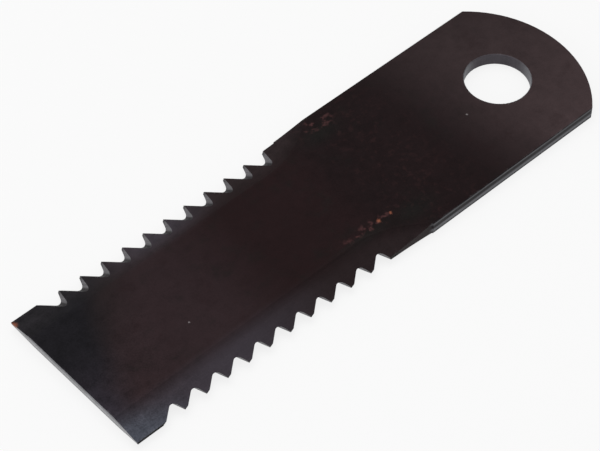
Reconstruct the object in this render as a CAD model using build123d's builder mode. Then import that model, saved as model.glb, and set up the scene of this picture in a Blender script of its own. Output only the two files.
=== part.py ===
from build123d import *

import os
from math import atan2, cos, radians, sin, sqrt, tan

# Straw chopper knife: one flat bar of hardened spring steel that swings on a bolt.
# Origin at the centre of the bolt hole on the lower face, +X towards the free end,
# +Z up through the thickness. All lengths are in millimetres.

# Bar
bar_width = 50.0
bar_thickness = 4.0
bore_diameter = 18.5
bore_to_end = 150.0
head_overhang = 22.7
head_radius = 33.0

# Rims
rolled_edge_radius = 0.2
bore_rim_radius = 0.3
end_break_height = 2.6
end_break_lean = 0.6

# Cutting edges: both long edges are ground from both faces to a blunt line
edge_land = 0.9
edge_width = 49.4
narrow_bevel_width = 8.2
wide_bevel_width = 8.8
full_bevel_start = 70.0
grinding_wheel_radius = 140.0
edge_step_start_first = 49.5
edge_step_start_second = 60.5
edge_step_radius = 0.4

# Serration: slanting gullets, sunk from one face on one edge
# and from the other face on the other edge
tooth_pitch = 7.0
gullet_count = 11
first_tip = 64.6
gullet_depth = 3.45
tooth_setback = 0.1
gullet_root_radius = 1.5
tooth_front_lean = 24.5
gullet_slant = 39.5

# Sizes that follow from the ones above; the cutters reach this far past the bar
half_width = bar_width / 2
half_thickness = bar_thickness / 2
half_edge = edge_width / 2
half_land = edge_land / 2
bore_radius = bore_diameter / 2
head_arc_centre = head_radius - head_overhang
head_corner = sqrt(head_radius**2 - half_width**2) - head_arc_centre
bevel_drop = half_thickness - half_land
last_tip = first_tip + gullet_count * tooth_pitch
cutter_reach = bar_thickness
gullet_reach = bar_width / 4


def bevel_width(side, face):
    """The gullets start in the narrow bevels."""
    return narrow_bevel_width if side != face else wide_bevel_width


def bevel_plane(side, face):
    """The plane that holds a bevel's long section: X along the knife, Y out of the bevel."""
    bevel_inner = half_edge - bevel_width(side, face)
    bevel_angle = atan2(bevel_drop, bevel_width(side, face))
    return Plane(
        origin=(0, side * bevel_inner, half_thickness + face * half_thickness),
        x_dir=(1, 0, 0),
        z_dir=(0, -face * cos(bevel_angle), side * sin(bevel_angle)),
    )


def gullet_plane(turn):
    """The plane square to the gullets' run, through the teeth's line on the face they start from."""
    slant = radians(gullet_slant)
    return Plane(
        origin=(0, -turn * half_edge, half_thickness + turn * half_land),
        x_dir=(1, 0, 0),
        z_dir=(0, -turn * cos(slant), -turn * sin(slant)),
    )


def sawtooth_points():
    """Tips and sharp roots of all gullets, from the shank to the free end."""
    front_run = gullet_depth * tan(radians(tooth_front_lean))
    points = []
    for number in range(gullet_count):
        tip = first_tip + number * tooth_pitch
        points.append((tip, -tooth_setback))
        points.append((tip + front_run, -tooth_setback - gullet_depth))
    points.append((last_tip, -tooth_setback))
    return points


with BuildPart() as knife:
    # Sheared outline: square free end, parallel sides, head rounded about a point past the bore
    with BuildSketch(Plane.XY) as outline:
        with BuildLine() as contour:
            Line((-head_corner, -half_width), (bore_to_end, -half_width))
            Line((bore_to_end, -half_width), (bore_to_end, half_width))
            Line((bore_to_end, half_width), (-head_corner, half_width))
            ThreePointArc((-head_corner, half_width), (-head_overhang, 0), (-head_corner, -half_width))
        make_face()
        Circle(bore_radius, mode=Mode.SUBTRACT)
    extrude(amount=bar_thickness)

    # The rolled bar's long edges are round, and the punched bore's rims only just
    long_edges = knife.edges().filter_by(Axis.X)
    fillet(long_edges, radius=rolled_edge_radius)
    bore_rims = knife.edges().filter_by(GeomType.CIRCLE).filter_by(lambda rim: rim.radius == bore_radius)
    fillet(bore_rims, radius=bore_rim_radius)

    # Shearing left the lower part of the free end leaning back
    with BuildSketch(Plane.XZ) as end_break:
        with BuildLine() as broken_corner:
            Polyline(
                (bore_to_end, end_break_height),
                (bore_to_end, 0),
                (bore_to_end - end_break_lean, 0),
                close=True,
            )
        make_face()
    extrude(amount=half_width, both=True, mode=Mode.SUBTRACT)

    # The toothed stretch stands back a little from the bar's sides
    with BuildSketch(Plane.XY) as edge_dressing:
        for side, step_start in ((1, edge_step_start_first), (-1, edge_step_start_second)):
            with Locations((step_start, side * (half_edge + cutter_reach / 2))):
                Rectangle(bore_to_end, cutter_reach, align=(Align.MIN, Align.CENTER))
        step_corners = [
            corners.sort_by(SortBy.DISTANCE)[0]
            for corners in edge_dressing.vertices().group_by(Axis.X)[:2]
        ]
        fillet(step_corners, radius=edge_step_radius)
    extrude(amount=bar_thickness, mode=Mode.SUBTRACT)

    # Four bevels, each flat along the teeth and run out by the wheel's own curve at the shank
    wheel_lift = bar_thickness
    wheel_run = sqrt(2 * grinding_wheel_radius * wheel_lift - wheel_lift**2)
    for side in (1, -1):
        for face in (1, -1):
            with BuildSketch(bevel_plane(side, face)) as bevel_section:
                with BuildLine() as ground_line:
                    TangentArc(
                        (full_bevel_start, 0),
                        (full_bevel_start - wheel_run, wheel_lift),
                        tangent=(-1, 0),
                    )
                    Polyline(
                        (full_bevel_start - wheel_run, wheel_lift),
                        (bore_to_end + cutter_reach, wheel_lift),
                        (bore_to_end + cutter_reach, 0),
                        (full_bevel_start, 0),
                    )
                make_face()
            extrude(amount=wide_bevel_width + cutter_reach, both=True, mode=Mode.SUBTRACT)

    # Gullets: steep tooth fronts face the free end, long backs fall towards the shank
    for turn in (1, -1):
        with BuildSketch(gullet_plane(turn)) as gullets:
            with BuildLine() as sawtooth:
                Polyline(
                    *sawtooth_points(),
                    (last_tip, cutter_reach),
                    (first_tip, cutter_reach),
                    close=True,
                )
            make_face()
            roots = gullets.vertices().group_by(Axis.Y)[0]
            fillet(roots, radius=gullet_root_radius)
        extrude(amount=gullet_reach, both=True, mode=Mode.SUBTRACT)

knife.part.label = "knife_blade"

os.makedirs("parts", exist_ok=True)
export_step(knife.part, "parts/knife_blade.step")
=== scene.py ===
import math

import bmesh
import bpy
from mathutils import Matrix

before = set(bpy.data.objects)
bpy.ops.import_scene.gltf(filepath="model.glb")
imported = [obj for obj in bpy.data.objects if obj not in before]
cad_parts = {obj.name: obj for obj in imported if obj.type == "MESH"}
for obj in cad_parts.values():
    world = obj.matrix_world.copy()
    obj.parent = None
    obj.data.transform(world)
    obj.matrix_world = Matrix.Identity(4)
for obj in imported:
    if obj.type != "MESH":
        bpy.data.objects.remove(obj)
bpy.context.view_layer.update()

bl_info = {
    "name": "Straw Chopper Knife",
    "version": (1, 0, 0),
    "blender": (4, 5, 0),
    "location": "3D View > Sidebar > Knife",
    "description": "Hardened steel finish for a serrated straw chopper knife, and the pale table it lies on",
    "category": "Object",
}

# Places on the knife, in millimetres along it, across it and up through it,
# from the centre of the bolt hole on the lower face
THICKNESS = 4.0
MID_HEIGHT = THICKNESS / 2
BORE_RADIUS = 9.25
BORE_RIM = 0.3
BAR_HALF_WIDTH = 25.0
FREE_END = 150.0
HALF_EDGE = 24.7
NARROW_BEVEL = 8.2
WIDE_BEVEL = 8.8
BEVEL_DROP = 1.55
FULL_BEVEL_START = 70.0
WHEEL_RADIUS = 140.0
TEETH_START = 62.0
GULLET_SLANT = math.radians(39.5)
HEAD_ARC_CENTRE = 10.3
HEAD_ARC_RADIUS = 33.0


def swatch(red, green, blue):
    """A screen colour from 0 to 255 as the linear colour that a shader takes."""
    linear = []
    for value in (red, green, blue):
        part = value / 255
        linear.append(part / 12.92 if part <= 0.04045 else ((part + 0.055) / 1.055) ** 2.4)
    return tuple(linear)


class Reading:
    """A number, colour or vector read off a surface, with the sums a finish needs."""

    def __init__(self, finish, socket):
        self.finish = finish
        self.socket = socket

    def sum(self, operation, *terms):
        return self.finish.step("ShaderNodeMath", {"operation": operation}, dict(enumerate(terms)))

    def __add__(self, other):
        return self.sum("ADD", self, other)

    __radd__ = __add__

    def __sub__(self, other):
        return self.sum("SUBTRACT", self, other)

    def __rsub__(self, other):
        return self.sum("SUBTRACT", other, self)

    def __mul__(self, other):
        return self.sum("MULTIPLY", self, other)

    __rmul__ = __mul__

    def __truediv__(self, other):
        return self.sum("DIVIDE", self, other)

    def __abs__(self):
        return self.sum("ABSOLUTE", self)

    def root(self):
        return self.sum("SQRT", self)

    def least(self, other):
        return self.sum("MINIMUM", self, other)

    def most(self, other):
        return self.sum("MAXIMUM", self, other)


class Finish:
    """The node tree of one material, or of the room round the knife."""

    def __init__(self, owner):
        owner.use_nodes = True
        self.tree = owner.node_tree
        self.tree.nodes.clear()

    def step(self, kind, settings=None, values=None, output=0):
        """Adds a node of that kind, makes its settings, fills its sockets and reads one output."""
        node = self.tree.nodes.new(kind)
        for name, setting in (settings or {}).items():
            setattr(node, name, setting)
        for name, value in (values or {}).items():
            if isinstance(value, Reading):
                self.tree.links.new(value.socket, node.inputs[name])
            else:
                node.inputs[name].default_value = value
        if node.outputs:
            return Reading(self, node.outputs[output])

    def rise(self, reading, start, end):
        """0 before start, 1 after end and a smooth climb between; a fall where end is the smaller."""
        return self.step(
            "ShaderNodeMapRange",
            {"interpolation_type": "SMOOTHSTEP"},
            {"Value": reading, "From Min": start, "From Max": end},
        )

    def hump(self, reading, centre, reach):
        """1 at the centre and 0 at reach on either side of it."""
        return self.rise(abs(reading - centre), reach, 0.0)

    def stretch(self, vector, scale):
        return self.step("ShaderNodeMapping", {"vector_type": "POINT"}, {"Vector": vector, "Scale": scale})

    def turn(self, vector, angle):
        """The vector turned about the knife's long axis."""
        return self.step(
            "ShaderNodeMapping", {"vector_type": "POINT"}, {"Vector": vector, "Rotation": (angle, 0.0, 0.0)}
        )

    def distance(self, vector, centre):
        return self.step("ShaderNodeVectorMath", {"operation": "DISTANCE"}, {0: vector, 1: centre}, output=1)

    def grain(self, vector, scale, detail=3.0, roughness=0.5):
        """Soft noise from -0.5 to 0.5."""
        noise = self.step(
            "ShaderNodeTexNoise",
            {"noise_dimensions": "3D"},
            {"Vector": vector, "Scale": scale, "Detail": detail, "Roughness": roughness},
        )
        return noise - 0.5

    def lay(self, under, over, cover):
        """The colour over, laid on the colour under where cover is 1."""
        colours = []
        for colour in (under, over):
            colours.append(colour if isinstance(colour, Reading) else (*colour, 1.0))
        return self.step(
            "ShaderNodeMix",
            {"data_type": "RGBA", "blend_type": "MIX"},
            {0: cover, 6: colours[0], 7: colours[1]},
            output=2,
        )

    def lighten(self, colour, amount):
        """The colour times one grey number, such as 1.1 for a tenth more."""
        grey = self.step("ShaderNodeCombineColor", {"mode": "RGB"}, {0: amount, 1: amount, 2: amount})
        return self.step(
            "ShaderNodeMix",
            {"data_type": "RGBA", "blend_type": "MULTIPLY"},
            {0: 1.0, 6: colour, 7: grey},
            output=2,
        )


def colour_setting(name, description, default):
    return bpy.props.FloatVectorProperty(
        name=name, description=description, subtype="COLOR", size=3, min=0.0, max=1.0, default=default
    )


class BladeFinishSettings(bpy.types.PropertyGroup):
    scale_colour: colour_setting("Scale", "Brown black hardening scale on the flats", swatch(24, 16, 17))
    red_colour: colour_setting("Red Film", "Reddish film at the first teeth", swatch(29, 18, 19))
    # paler film round the bolt hole, with a painted sheen laid into it
    head_film_and_sheen_colour: colour_setting("Head Film", "Paler film round the bolt hole", swatch(52, 42, 43))
    middle_colour: colour_setting("Middle Film", "Paler film across the last teeth", swatch(40, 30, 32))
    # also laid as the painted dark reflection band along the near bevel
    green_colour: colour_setting("Green Black", "Greenish black patches in the scale", swatch(22, 21, 20))
    blue_colour: colour_setting("Blue Black", "Bluish black scale at the free end", swatch(22, 21, 24))
    pale_blue_colour: colour_setting("Pale Blue", "Paler bluish scale at the free end", swatch(40, 36, 42))
    shank_bevel_colour: colour_setting("Bevel", "Scale on the bevels' first teeth", swatch(38, 30, 31))
    bevel_colour: colour_setting("Pale Bevel", "Paler scale on the bevels' last teeth", swatch(57, 52, 58))
    blue_bevel_colour: colour_setting("Blue Bevel", "Bluish scale on a bevel's end", swatch(32, 30, 33))
    # part bluish heat tint, part painted reflection of bright light on the bevel that faces +y
    corner_tint_and_sheen_colour: colour_setting("Bevel Corner", "Bluish grey corner at the free end", swatch(70, 73, 82))
    # thinly scaled, and painted light as the sheen of the light from beyond the free end
    front_scale_and_sheen_colour: colour_setting("Tooth Fronts", "Thinly scaled fronts of the teeth", swatch(106, 104, 107))
    back_colour: colour_setting("Tooth Backs", "Dark scale on the backs of the teeth", swatch(34, 31, 33))
    end_colour: colour_setting("Free End", "Bare steel on the sheared free end", swatch(148, 148, 150))
    # scaled wall, painted darker as shade on its part towards -x and -y
    wall_colour: colour_setting("Bore Wall", "Scaled wall of the bolt hole", swatch(78, 74, 79))
    # also the painted highlight in the side bands and the paler painted reflection on the bore wall's sides
    side_colour: colour_setting("Bar Sides", "Grey rolled sides of the bar", swatch(110, 110, 114))
    side_line_colour: colour_setting("Side Lines", "Darker lines along the bar's sides", swatch(26, 25, 27))
    # also serves as the painted highlight along the worn edges and tips
    bare_colour: colour_setting("Worn Edges", "Steel worn bare on edges and tips", swatch(120, 116, 116))
    freckle_colour: colour_setting("Freckles", "Reddish freckles where the bevels run out", swatch(78, 50, 50))
    rust_colour: colour_setting("Rust", "Light orange rust in nicks", swatch(170, 104, 80))
    roughness: bpy.props.FloatProperty(
        name="Roughness",
        description="Mean roughness of the scale",
        subtype="FACTOR",
        min=0.0,
        max=1.0,
        default=0.48,
    )
    metal_share: bpy.props.FloatProperty(
        name="Metal",
        description="How far the scale gleams as metal does",
        subtype="FACTOR",
        min=0.0,
        max=1.0,
        default=0.5,
    )
    wear: bpy.props.FloatProperty(
        name="Wear",
        description="How far edges and tips are worn",
        subtype="FACTOR",
        min=0.0,
        max=1.0,
        default=0.2,
    )
    relief: bpy.props.FloatProperty(
        name="Relief",
        description="Height of the scale's grain and the grinding marks",
        unit="LENGTH",
        min=0.0,
        max=0.001,
        default=0.00003,
    )


class StageSettings(bpy.types.PropertyGroup):
    floor_colour: bpy.props.FloatVectorProperty(
        name="Floor",
        description="Colour of the table under the knife",
        subtype="COLOR",
        size=3,
        min=0.0,
        max=1.0,
        default=(0.86, 0.86, 0.86),
    )
    floor_reach: bpy.props.FloatProperty(
        name="Floor Reach",
        description="Half the side of the table top",
        unit="LENGTH",
        min=0.5,
        default=6.0,
    )
    floor_glow: bpy.props.FloatProperty(
        name="Floor Glow",
        description="Share of plain white in the floor as the camera sees it; the rest shows its shadow",
        subtype="FACTOR",
        min=0.0,
        max=1.0,
        default=0.82,
    )
    ambient: bpy.props.FloatProperty(
        name="Ambient",
        description="Strength of the room's even light",
        min=0.0,
        default=0.55,
    )
    key_power: bpy.props.FloatProperty(
        name="Key Light",
        description="Power of the large soft lamp above the knife",
        min=0.0,
        default=4.5,
    )
    front_power: bpy.props.FloatProperty(
        name="Front Light",
        description="Power of the low soft lamp beyond the free end",
        min=0.0,
        default=2.0,
    )
    camera_place: bpy.props.FloatVectorProperty(
        name="Camera Place",
        description="Where the camera stands",
        subtype="TRANSLATION",
        unit="LENGTH",
        size=3,
        default=(0.331513, 0.277644, 0.456960),
    )
    camera_turn: bpy.props.FloatVectorProperty(
        name="Camera Turn",
        description="How the camera is turned",
        subtype="EULER",
        unit="ROTATION",
        size=3,
        default=(math.radians(39.7062), math.radians(-0.20424), math.radians(137.37526)),
    )
    camera_lens: bpy.props.FloatProperty(
        name="Lens",
        description="Focal length on a 36 mm wide sensor, in millimetres",
        min=1.0,
        default=135.93,
    )


# Nicks down to rusting steel, and bright specks: place in millimetres and reach
RUST_SPOTS = (
    ((150.2, -23.4, 2.9), 1.6),
    ((59.4, 14.6, 4.0), 0.8),
    ((55.2, 14.8, 4.0), 0.6),
)
PALE_SPECKS = (
    ((15.7, 3.7, 4.0), 0.4),
    ((117.5, 6.4, 4.0), 0.35),
)


def steel_regions(finish, place, normal):
    """Where each of the knife's surfaces is, as covers from 0 to 1."""
    x, y, z = (finish.step("ShaderNodeSeparateXYZ", values={0: place}, output=i) for i in range(3))
    facing_x = finish.step("ShaderNodeSeparateXYZ", values={0: normal}, output=0)
    away = abs(y)
    sink = MID_HEIGHT - abs(z - MID_HEIGHT)
    from_bore = (x * x + y * y).root()
    past_head = ((x - HEAD_ARC_CENTRE) * (x - HEAD_ARC_CENTRE) + y * y).root()
    sunk = finish.rise(sink, 0.01, 0.05)

    # A bevel is narrow where the gullets start in it; the wheel's curve lifts it off towards the shank
    wide = finish.rise(y * (z - MID_HEIGHT), -0.01, 0.01)
    bevel_width = NARROW_BEVEL + (WIDE_BEVEL - NARROW_BEVEL) * wide
    before = (FULL_BEVEL_START - x).most(0.0)
    lift = (before * before) * (0.5 / WHEEL_RADIUS)
    past_inner = away - (HALF_EDGE - bevel_width)
    bevel_depth = past_inner * BEVEL_DROP / bevel_width - lift
    on_bevel = finish.rise(abs(bevel_depth - sink), 0.09, 0.04)
    end_face = finish.rise(facing_x, 0.955, 0.975) * finish.rise(x, FREE_END - 1.2, FREE_END - 1.0)
    toothed = finish.rise(x, TEETH_START - 1.0, TEETH_START)
    bore_wall = finish.rise(from_bore, BORE_RADIUS + BORE_RIM + 0.1, BORE_RADIUS + 0.1) * sunk
    head_side = finish.rise(past_head, HEAD_ARC_RADIUS - 0.15, HEAD_ARC_RADIUS - 0.05) * finish.rise(x, 0.0, -1.0)
    bar_side = finish.rise(away, 24.45, 24.6) * finish.rise(x, 51.0, 49.0) * sunk * (1 - head_side)
    bevel = on_bevel * sunk * (1 - end_face)
    gullet = toothed * sunk * (1 - on_bevel) * (1 - end_face) * finish.rise(away, 17.0, 17.5)
    front = gullet * finish.rise(facing_x, 0.3, 0.75)

    # Edges that rub, worn bare and also painted as highlight: the outline's rims, the bore's rims and the tips
    outline_rim = finish.rise(away, BAR_HALF_WIDTH - 0.5, BAR_HALF_WIDTH - 0.1) * finish.rise(x, 62.0, 50.0)
    head_rim = finish.rise(past_head, HEAD_ARC_RADIUS - 0.5, HEAD_ARC_RADIUS - 0.1) * finish.rise(x, 0.0, -4.0)
    bore_rim = finish.hump(from_bore, BORE_RADIUS + BORE_RIM, 0.35)
    rims = outline_rim.most(head_rim).most(bore_rim) * finish.rise(sink, 0.6, 0.2)
    end_rim = finish.rise(x, FREE_END - 0.5, FREE_END - 0.05) * (1 - end_face)
    tips = finish.rise(away, HALF_EDGE - 0.9, HALF_EDGE) * toothed * sunk
    return {
        "x": x,
        "y": y,
        "z": z,
        "bevel": bevel,
        "bevel_reach": finish.rise(past_inner - lift * bevel_width / BEVEL_DROP, -1.5, 5.0),
        "tip": finish.rise(away, HALF_EDGE - 1.6, HALF_EDGE) * toothed,
        "gullet": gullet,
        "front": front,
        "end_face": end_face,
        "bore_wall": bore_wall,
        "side": bar_side.most(head_side * sunk),
        "edges": rims.most(end_rim).most(tips * 0.8),
    }


def flats_tone(finish, settings, at, cloud, blotch):
    """The scale's tone drifts along the bar: pale at the head, dark, reddish, pale again, then blue. The paleness
    at the head is partly paler film and partly painted sheen.
    """
    x, y = at["x"], at["y"]
    head = finish.rise(x + 0.1 * y + 8 * cloud, 32.0, -2.0)
    red = finish.rise(x + 10 * cloud, 56.0, 66.0)
    middle = finish.rise(x + 8 * cloud, 86.0, 112.0)
    blue = finish.rise(x - 0.45 * y + 8 * cloud + 4 * blotch, 133.0, 144.0)
    tone = finish.lay(settings.scale_colour, settings.head_film_and_sheen_colour, head)
    # painted sheen: the head's tone grows lighter towards +y and darker towards -y, by up to a quarter at the
    # edges
    tone = finish.lighten(tone, 1 + 0.01 * y * head)
    tone = finish.lay(tone, settings.red_colour, red)
    tone = finish.lay(tone, settings.middle_colour, middle)
    run_outs = finish.hump(x, 50.0, 11.0) * finish.hump(abs(y), 18.0, 5.0)
    # painted reflection: a greenish black band along the near bevel's inner line, x 49 to 83 and y 15 to 18.5,
    # stands in for dark surroundings mirrored there
    near_bevel_dark_reflection = finish.hump(x, 66.0, 17.0) * finish.rise(y, 14.7, 15.3) * finish.rise(y, 19.5, 17.0)
    free_corner = finish.rise(x - 0.9 * y + 12 * cloud, 126.0, 148.0)
    green = (finish.rise(blotch, 0.0, 0.3) * 0.6 * (1 - head)).most(run_outs * 0.8)
    green = green.most(near_bevel_dark_reflection * 0.75).most(free_corner * 0.6)
    tone = finish.lay(tone, settings.green_colour, green)
    tone = finish.lay(tone, settings.red_colour, finish.rise(blotch, 0.0, -0.3) * 0.5)
    end_zone = finish.lay(settings.blue_colour, settings.pale_blue_colour, finish.rise(y, -8.0, 17.0))
    return finish.lay(tone, end_zone, blue)


def bevel_tone(finish, settings, at, cloud):
    """Greyer than the flats towards the free end, with one bluish grey corner that is part heat tint and part
    painted reflection.
    """
    x, y = at["x"], at["y"]
    near_side = finish.rise(y, -2.0, 2.0)
    pale_near = finish.rise(x + 8 * cloud, 76.0, 116.0) * near_side
    pale_far = finish.hump(x + 6 * cloud, 105.0, 24.0) * (1 - near_side)
    blue_far = finish.rise(x + 10 * cloud, 112.0, 134.0) * (1 - near_side)
    # painted reflection: the bluish grey corner on the near bevel at the free end partly stands for bright light
    # mirrored by that bevel
    corner = finish.rise(x * 0.5 + y + 4 * cloud, 86.0, 99.0)
    tone = finish.lay(settings.shank_bevel_colour, settings.blue_bevel_colour, blue_far)
    tone = finish.lay(tone, settings.bevel_colour, pale_near.most(pale_far))
    return finish.lay(tone, settings.corner_tint_and_sheen_colour, corner)


def steel_finish(settings):
    """The hardened steel: brown black scale, ground bevels, bright end and a little rust."""
    material = bpy.data.materials.new("hardened_steel")
    finish = Finish(material)
    object_place = finish.step("ShaderNodeTexCoord", output=3)
    normal = finish.step("ShaderNodeTexCoord", output=1)
    place = finish.stretch(object_place, (1000.0, 1000.0, 1000.0))
    at = steel_regions(finish, place, normal)
    x, y, z = at["x"], at["y"], at["z"]

    cloud = finish.grain(place, 0.045, detail=4.0, roughness=0.55)
    blotch = finish.grain(place, 0.13, detail=4.0, roughness=0.6)
    mottle = finish.grain(place, 0.35, detail=5.0, roughness=0.6)
    fine = finish.grain(place, 2.2, detail=4.0, roughness=0.65)
    lengthwise = finish.grain(finish.stretch(place, (0.03, 2.8, 2.8)), 1.0)
    along_gullets = finish.turn(place, math.pi / 2 - GULLET_SLANT)
    milled = finish.grain(finish.stretch(along_gullets, (1.6, 2.6, 0.12)), 1.0)
    upright = finish.grain(finish.stretch(place, (3.0, 3.0, 0.25)), 1.0, detail=4.0)
    rolled = finish.grain(finish.stretch(place, (0.05, 0.5, 2.5)), 1.0)

    flats = flats_tone(finish, settings, at, cloud, blotch)
    tone = finish.lay(flats, bevel_tone(finish, settings, at, cloud), at["bevel_reach"])
    # painted shade: the near bevel (y above 0) is darkened by up to 0.28 to offset the extra light its slope
    # catches from the lamps
    tone = finish.lighten(tone, 1 - 0.28 * at["bevel"] * finish.rise(y, -2.0, 2.0))
    tone = finish.lay(tone, settings.back_colour, at["gullet"])
    # painted sheen: gullet walls facing +x take the light grey of the tooth fronts, partly thin scale and partly
    # the light from beyond the free end, while walls facing away keep the dark back colour
    tone = finish.lay(tone, settings.front_scale_and_sheen_colour, at["front"])

    # Sheared and punched faces: the cut starts smooth at the top and breaks rough below
    away_from_break = finish.rise(z, 2.7, 3.8).most(0.6 * finish.rise(z, 2.3, 1.3))
    end_tone = finish.lay(settings.end_colour, settings.side_colour, away_from_break)
    tone = finish.lay(tone, end_tone, at["end_face"])
    # painted shade and reflection: the bore wall is painted darker on its part towards -x and -y, and paler grey
    # on the parts either side, in place of the dark and bright surroundings it would mirror
    wall_painted_shade = finish.lay(settings.side_colour, settings.wall_colour, finish.rise(x + y, -5.0, -11.0))
    tone = finish.lay(tone, wall_painted_shade, at["bore_wall"])

    # Rolled sides: two pale bands of painted highlight along the rounded edges, with darker lines above and
    # between them
    edge_highlight_bands = finish.hump(z, 1.25, 1.0).most(0.6 * finish.hump(z, 3.45, 0.55))
    side_tone = finish.lay(settings.side_line_colour, settings.side_colour, edge_highlight_bands + 0.8 * rolled)
    tone = finish.lay(tone, side_tone, at["side"])

    # real wear on edges and tips, which also stands as their painted highlight
    worn = at["edges"] * finish.rise(0.6 * mottle + fine, 0.0, 0.3) * settings.wear
    tone = finish.lay(tone, settings.bare_colour, worn)

    # Scratches on the flats, grinding lines on the bevels and tears in the cut faces
    pits = finish.rise(x, 118.0, 146.0).most(finish.hump(x, 50.0, 30.0) * 0.6)
    shade = 1 + 0.3 * cloud + (0.7 + 0.8 * pits) * mottle + (0.6 + 0.9 * pits) * fine
    ground = at["bevel"] * 0.3 * lengthwise + at["gullet"] * (1.1 * milled - 0.6 * at["tip"])
    cut = at["end_face"].most(at["bore_wall"]) * 0.4 * upright
    tone = finish.lighten(tone, shade + ground + cut)

    near_run_out = finish.hump(x, 62.0, 16.0) * finish.hump(y, 14.6, 2.6)
    far_run_out = finish.hump(x, 48.0, 9.0) * finish.hump(y, -21.5, 4.5)
    freckled = near_run_out.most(far_run_out).most(0.12 * finish.hump(x, 42.0, 24.0))
    freckle = finish.rise(finish.grain(place, 0.65, detail=3.0), 0.0, 0.25) * freckled
    tone = finish.lay(tone, settings.freckle_colour, freckle * 0.9)
    rust = 0.0
    for centre, reach in RUST_SPOTS:
        rust = finish.rise(finish.distance(place, centre) + 1.5 * fine, reach, reach * 0.2).most(rust)
    tone = finish.lay(tone, settings.rust_colour, rust * 0.6)
    speck = 0.0
    for centre, reach in PALE_SPECKS:
        speck = finish.rise(finish.distance(place, centre) + 0.8 * fine, reach, reach * 0.3).most(speck)
    tone = finish.lay(tone, settings.bare_colour, speck * 0.6)

    bright = at["end_face"].most(at["front"] * 0.5).most(worn).most(speck)
    metal = (settings.metal_share + 0.3 * bright) * (1 - rust)
    rough = settings.roughness + 0.25 * mottle + 0.15 * fine - 0.08 * at["bevel"] - 0.06 * bright + 0.3 * rust
    height = fine * 0.5 + mottle * 0.5 + at["bevel"] * lengthwise * 0.6 + at["gullet"] * milled * 2 + cut * 2
    height = height + at["side"] * rolled - 1.5 * rust
    relief = finish.step("ShaderNodeBump", values={"Distance": settings.relief, "Height": height})
    surface = finish.step(
        "ShaderNodeBsdfPrincipled",
        values={
            "Base Color": tone,
            "Metallic": metal,
            "Roughness": rough,
            "Specular IOR Level": 0.03,
            "Normal": relief,
        },
    )
    finish.step("ShaderNodeOutputMaterial", values={"Surface": surface})
    return material


class KNIFE_OT_finish_blade(bpy.types.Operator):
    """Give the knife its hardened, ground and sheared steel surfaces"""

    bl_idname = "knife.finish_blade"
    bl_label = "Finish Blade"

    def execute(self, context):
        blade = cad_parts["knife_blade"]
        steel = steel_finish(context.scene.knife_blade_finish)
        blade.data.materials.clear()
        blade.data.materials.append(steel)
        return {"FINISHED"}


def seen_directly(finish):
    """1 for what the camera sees, also in a mirror or through glass, and 0 for what lights the knife."""
    camera, glossy, through = (finish.step("ShaderNodeLightPath", output=i) for i in (0, 3, 6))
    return camera.most(glossy).most(through)


def floor_finish(settings):
    """A pale table top that reads white to the camera and still takes the knife's shadow."""
    material = bpy.data.materials.new("pale_table")
    finish = Finish(material)
    place = finish.step("ShaderNodeTexCoord", output=3)
    wave = finish.grain(place, 3.0, detail=2.0)
    table = finish.step(
        "ShaderNodeBsdfDiffuse",
        values={
            "Color": (*settings.floor_colour, 1.0),
            "Normal": finish.step("ShaderNodeBump", values={"Distance": 0.0005, "Height": wave}),
        },
    )
    white = finish.step("ShaderNodeEmission", values={"Color": (1.0, 1.0, 1.0, 1.0), "Strength": 1.0})
    share = seen_directly(finish) * settings.floor_glow
    surface = finish.step("ShaderNodeMixShader", values={0: share, 1: table, 2: white})
    finish.step("ShaderNodeOutputMaterial", values={"Surface": surface})
    return material


def light_room(settings):
    """The same white on all sides: full where it is seen, and dimmer where it lights the knife."""
    room = bpy.data.worlds.new("plain_room")
    finish = Finish(room)
    strength = settings.ambient + seen_directly(finish) * (1.0 - settings.ambient)
    glow = finish.step("ShaderNodeBackground", values={"Color": (1.0, 1.0, 1.0, 1.0), "Strength": strength})
    finish.step("ShaderNodeOutputWorld", values={"Surface": glow})
    return room


def add_lamp(name, power, size, place, target):
    """A square soft lamp at place that faces target."""
    lamp = bpy.data.lights.new(name, "AREA")
    lamp.energy = power
    lamp.size = size
    holder = bpy.data.objects.new(name, lamp)
    bpy.context.scene.collection.objects.link(holder)
    holder.location = place
    aim = holder.location.copy()
    aim.x, aim.y, aim.z = (t - p for t, p in zip(target, place))
    holder.rotation_euler = aim.to_track_quat("-Z", "Y").to_euler()
    return holder


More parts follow.
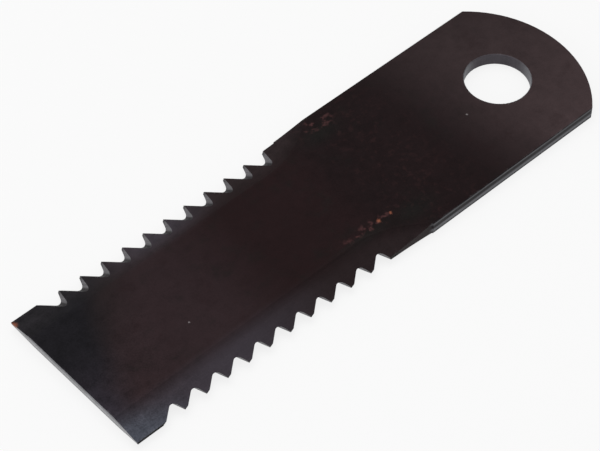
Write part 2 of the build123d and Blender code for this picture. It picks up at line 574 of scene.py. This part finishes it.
class KNIFE_OT_set_stage(bpy.types.Operator):
    """Lay the pale table, light the room evenly and place the camera"""

    bl_idname = "knife.set_stage"
    bl_label = "Set Stage"

    def execute(self, context):
        scene = context.scene
        settings = scene.knife_stage
        sheet = bmesh.new()
        bmesh.ops.create_grid(sheet, x_segments=8, y_segments=8, size=settings.floor_reach)
        mesh = bpy.data.meshes.new("table_top")
        sheet.to_mesh(mesh)
        sheet.free()
        table = bpy.data.objects.new("table_top", mesh)
        scene.collection.objects.link(table)
        mesh.transform(Matrix.Translation((0.0, 0.0, -0.00002)))
        mesh.materials.append(floor_finish(settings))

        scene.world = light_room(settings)

        add_lamp("key_lamp", settings.key_power, 0.9, (-0.15, -0.35, 1.1), (0.07, 0.0, 0.0))
        add_lamp("front_lamp", settings.front_power, 0.5, (1.0, 0.1, 0.35), (0.15, 0.0, 0.0))

        camera = bpy.data.cameras.new("view_camera")
        camera.lens = settings.camera_lens
        camera.sensor_width = 36.0
        camera.clip_start = 0.01
        camera.clip_end = 50.0
        holder = bpy.data.objects.new("view_camera", camera)
        scene.collection.objects.link(holder)
        holder.location = settings.camera_place
        holder.rotation_euler = settings.camera_turn
        scene.camera = holder
        scene.view_settings.view_transform = "Standard"
        return {"FINISHED"}


class KNIFE_PT_panel(bpy.types.Panel):
    """Steps that finish the knife and set its stage"""

    bl_idname = "KNIFE_PT_panel"
    bl_label = "Straw Chopper Knife"
    bl_space_type = "VIEW_3D"
    bl_region_type = "UI"
    bl_category = "Knife"

    def draw(self, context):
        layout = self.layout
        for operator, settings in (
            ("knife.finish_blade", context.scene.knife_blade_finish),
            ("knife.set_stage", context.scene.knife_stage),
        ):
            box = layout.box()
            box.operator(operator)
            for name in settings.__annotations__:
                box.prop(settings, name)


CLASSES = (
    BladeFinishSettings,
    StageSettings,
    KNIFE_OT_finish_blade,
    KNIFE_OT_set_stage,
    KNIFE_PT_panel,
)


def register():
    for each in CLASSES:
        bpy.utils.register_class(each)
    bpy.types.Scene.knife_blade_finish = bpy.props.PointerProperty(type=BladeFinishSettings)
    bpy.types.Scene.knife_stage = bpy.props.PointerProperty(type=StageSettings)


def unregister():
    del bpy.types.Scene.knife_stage
    del bpy.types.Scene.knife_blade_finish
    for each in reversed(CLASSES):
        bpy.utils.unregister_class(each)


def main():
    register()
    bpy.ops.knife.finish_blade()
    bpy.ops.knife.set_stage()


if __name__ == "__main__":
    main()
